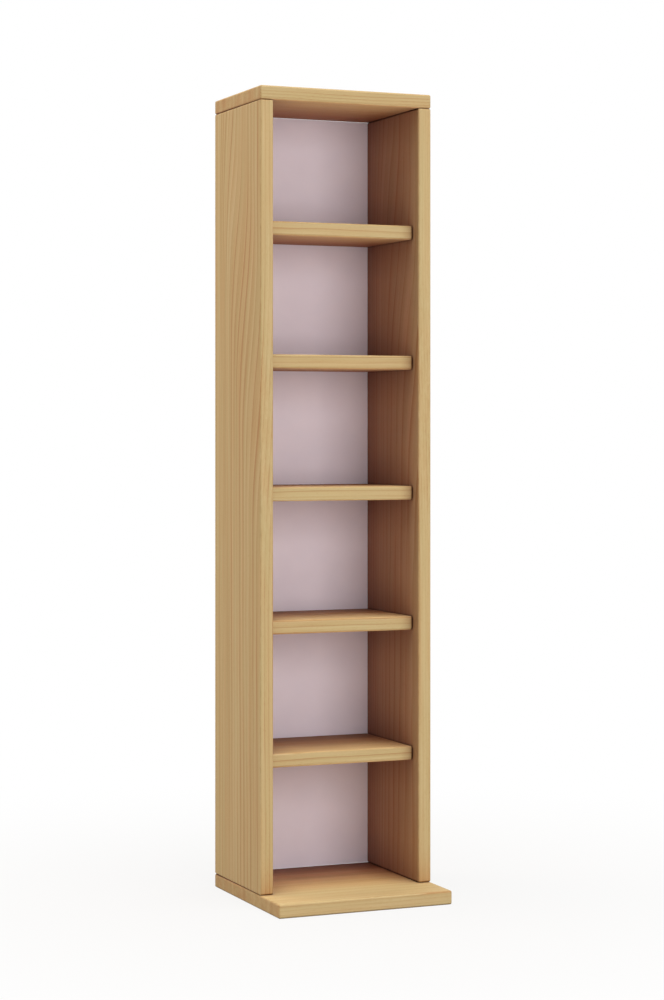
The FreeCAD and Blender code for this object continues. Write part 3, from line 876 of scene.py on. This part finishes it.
@dataclass
class Fittings:
    """The back panel and the hidden hardware."""

    panel: LacqueredHardboard = LacqueredHardboard()
    cap: MouldedCap = MouldedCap()
    wire: DrawnSteel = DrawnSteel(
        "steel_wire_bright_zinc", metal="#D6D8DC", metal_shade="#BFC2C8", roughness=0.3)
    screw: DrawnSteel = DrawnSteel(
        "steel_turned_zinc", metal="#CFCFD2", metal_shade="#B4B4BA", roughness=0.36)
    pin: DrawnSteel = DrawnSteel(
        "steel_wire_bare", metal="#B9BABD", metal_shade="#9FA0A4", roughness=0.4)
    dowel: Beech = Beech("beech_turned_bare", roughness=0.7, relief_mm=0.15)
    dowel_cut: BoardCut = BoardCut(
        Grain.UPRIGHT, pith_mm=(40.0, 60.0), tilt_deg=(0.5, 0.5), ring_mm=2.5)

    def dress(self, nodes: dict[str, bpy.types.Object]) -> None:
        """Finishes the panel, wires, screws, pins, caps and dowels, by the endings of their names.

        Args:
            nodes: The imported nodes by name.
        """
        finishes = {
            "back_panel_pins": self.pin.make(),
            "back_panel": self.panel.make(),
            "top_screw_caps": self.cap.make(),
            "_screws": self.screw.make(),
            "_wire": self.wire.make(),
            "_dowels": self.dowel.make("dowels", self.dowel_cut),
        }
        for name, node in nodes.items():
            ending = next((end for end in finishes if name.endswith(end)), None)
            if ending:
                put_finish(node, finishes[ending])


@dataclass(frozen=True)
class Lamp:
    """A square, soft lamp that looks at the middle of the tower.

    Attributes:
        name: The lamp's name.
        round_deg: Turn from the tower's front towards its right side.
        height_deg: Height above the middle of the tower.
        power_w: The lamp's power.
        colour: Colour of its light.
        size_m: Side of the square.
        distance_m: Distance from the middle of the tower.
    """

    name: str
    round_deg: float
    height_deg: float
    power_w: float
    colour: str = "#FFFFFF"
    size_m: float = 1.8
    distance_m: float = 2.8

    def build(self, aim: Vector) -> None:
        """Hangs the lamp.

        Args:
            aim: The point that the lamp looks at.
        """
        turn = math.radians(self.round_deg)
        lift = math.radians(self.height_deg)
        away = Vector((math.sin(turn) * math.cos(lift), -math.cos(turn) * math.cos(lift), math.sin(lift)))
        light = bpy.data.lights.new(self.name, "AREA")
        light.energy = self.power_w
        light.color = linear(self.colour)[:3]
        light.size = self.size_m
        lamp = bpy.data.objects.new(self.name, light)
        lamp.location = aim + away * self.distance_m
        lamp.rotation_euler = (-away).to_track_quat("-Z", "Y").to_euler()
        bpy.context.scene.collection.objects.link(lamp)
        LOG.info("%s: %.0f W", self.name, self.power_w)


@dataclass
class Studio:
    """A white room: pale floor, faint even light from all round and four large soft lamps.

    Attributes:
        surround: Strength of the light from all round.
        lamps: The soft lamps.
        aim_m: What the lamps look at.
        floor_half_m: Half the side of the floor.
        shadow_share: How much of the floor's own shading shows beside the tower.
        shadow_reach_m: How far from the tower that shading fades out.
        white: Colour of the room.
        floor_colour: Colour of the floor's paint.
    """

    surround: float = 0.24
    lamps: tuple[Lamp, ...] = (
        Lamp("front_lamp", round_deg=9.0, height_deg=6.5, power_w=25.0, size_m=1.55, distance_m=2.4),
        Lamp("top_lamp", round_deg=0.0, height_deg=82.0, power_w=194.0, size_m=2.6, distance_m=4.0),
        Lamp("left_lamp", round_deg=-120.0, height_deg=35.0, power_w=33.0, colour="#FFE6D6"),
        Lamp("right_lamp", round_deg=72.0, height_deg=20.0, power_w=7.0),
    )
    aim_m: tuple[float, float, float] = (0.0, 0.0, 0.44)
    floor_half_m: float = 6.0
    shadow_share: float = 0.15
    shadow_reach_m: float = 0.9
    white: str = "#FFFFFF"
    floor_colour: str = "#BEB9B2"

    def build(self) -> None:
        """Builds the surroundings, the floor and the lamps."""
        self._build_world()
        self._build_floor()
        for lamp in self.lamps:
            lamp.build(Vector(self.aim_m))

    def _background_rays(self, tree: Tree) -> Socket:
        """Picks out the rays that show the background.

        Args:
            tree: The tree that takes the nodes.

        Returns:
            One on camera, glossy and transmission rays, and zero on others.
        """
        path = add_node(tree, "ShaderNodeLightPath")
        total = path.outputs["Is Camera Ray"]
        for kind in ("Is Glossy Ray", "Is Transmission Ray"):
            step = add_node(tree, "ShaderNodeMath", {0: total, 1: path.outputs[kind]}, operation="MAXIMUM")
            total = step.outputs["Value"]
        return total

    def _build_world(self) -> None:
        """Surrounds the object with white that shows at full strength and lights at its own."""
        world = bpy.data.worlds.new("white_room")
        world.use_nodes = True
        tree = world.node_tree
        tree.nodes.clear()
        white = linear(self.white)
        lights = add_node(tree, "ShaderNodeBackground", {"Color": white, "Strength": self.surround})
        shows = add_node(tree, "ShaderNodeBackground", {"Color": white, "Strength": 1.0})
        both = add_node(tree, "ShaderNodeMixShader", {
            "Fac": self._background_rays(tree), 1: lights.outputs[0], 2: shows.outputs[0],
        })
        add_node(tree, "ShaderNodeOutputWorld", {"Surface": both.outputs[0]})
        bpy.context.scene.world = world

    def _build_floor(self) -> None:
        """Lays a pale floor that keeps a soft shadow and fades to the white of the room."""
        half = self.floor_half_m
        mesh = bpy.data.meshes.new("floor")
        corners = [(-half, -half, 0.0), (half, -half, 0.0), (half, half, 0.0), (-half, half, 0.0)]
        mesh.from_pydata(corners, [], [(0, 1, 2, 3)])
        floor = bpy.data.objects.new("floor", mesh)
        bpy.context.scene.collection.objects.link(floor)
        mesh.materials.append(self._floor_material())
        LOG.info("floor: %.1f m square", 2 * half)

    def _floor_material(self) -> bpy.types.Material:
        """Builds the floor's painted surface, which glows white away from the tower's shadow.

        Returns:
            The floor's material.
        """
        material, tree = new_material("painted_studio_floor")
        place = add_node(tree, "ShaderNodeTexCoord")
        reach = add_node(tree, "ShaderNodeVectorMath", {0: place.outputs["Object"]}, operation="LENGTH")
        fade = add_node(tree, "ShaderNodeMapRange", {
            "Value": reach.outputs["Value"], "From Min": 0.0, "From Max": self.shadow_reach_m,
            "To Min": 1.0 - self.shadow_share, "To Max": 1.0,
        }, interpolation_type="SMOOTHSTEP")
        shown = add_node(tree, "ShaderNodeMath", {
            0: fade.outputs["Result"], 1: self._background_rays(tree),
        }, operation="MULTIPLY")
        paint = add_node(tree, "ShaderNodeBsdfDiffuse", {"Color": linear(self.floor_colour)})
        glow = add_node(tree, "ShaderNodeEmission", {"Color": linear(self.white), "Strength": 1.0})
        both = add_node(tree, "ShaderNodeMixShader", {
            "Fac": shown.outputs["Value"], 1: paint.outputs[0], 2: glow.outputs[0],
        })
        add_node(tree, "ShaderNodeOutputMaterial", {"Surface": both.outputs[0]})
        return material


@dataclass
class PhotoCamera:
    """A level camera to the left of the front, as the photograph was taken.

    Attributes:
        place_m: Where the camera stands.
        heading_deg: Turn of its view to the right of straight ahead at the tower's front.
        focal_px: Focal length in pixels of the photograph.
        horizon_px: Height of the horizon in the photograph, from its top.
        sensor_mm: Long side of the sensor.
    """

    place_m: tuple[float, float, float] = (-1.0218, -2.4085, 0.5084)
    heading_deg: float = 23.008
    focal_px: float = 2393.5
    horizon_px: float = 430.4
    sensor_mm: float = 36.0

    def build(self) -> None:
        """Makes the camera and gives it to the scene."""
        data = bpy.data.cameras.new("photo_camera")
        data.sensor_width = self.sensor_mm
        data.lens = self.sensor_mm * self.focal_px / IMAGE_HEIGHT_PX
        data.shift_y = (self.horizon_px - IMAGE_HEIGHT_PX / 2) / IMAGE_HEIGHT_PX
        camera = bpy.data.objects.new("photo_camera", data)
        camera.location = self.place_m
        camera.rotation_euler = (math.pi / 2, 0.0, -math.radians(self.heading_deg))
        bpy.context.scene.collection.objects.link(camera)
        bpy.context.scene.camera = camera
        LOG.info("camera: %.1f mm lens", data.lens)


def main() -> None:
    """Builds the dressed tower, its studio and its camera."""
    logging.basicConfig(level=logging.INFO, format="%(name)s %(message)s")
    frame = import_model()
    bpy.context.scene.view_settings.view_transform = "Standard"
    Boards().dress(frame["nodes"])
    Fittings().dress(frame["nodes"])
    Studio().build()
    PhotoCamera().build()


if __name__ == "__main__":
    main()
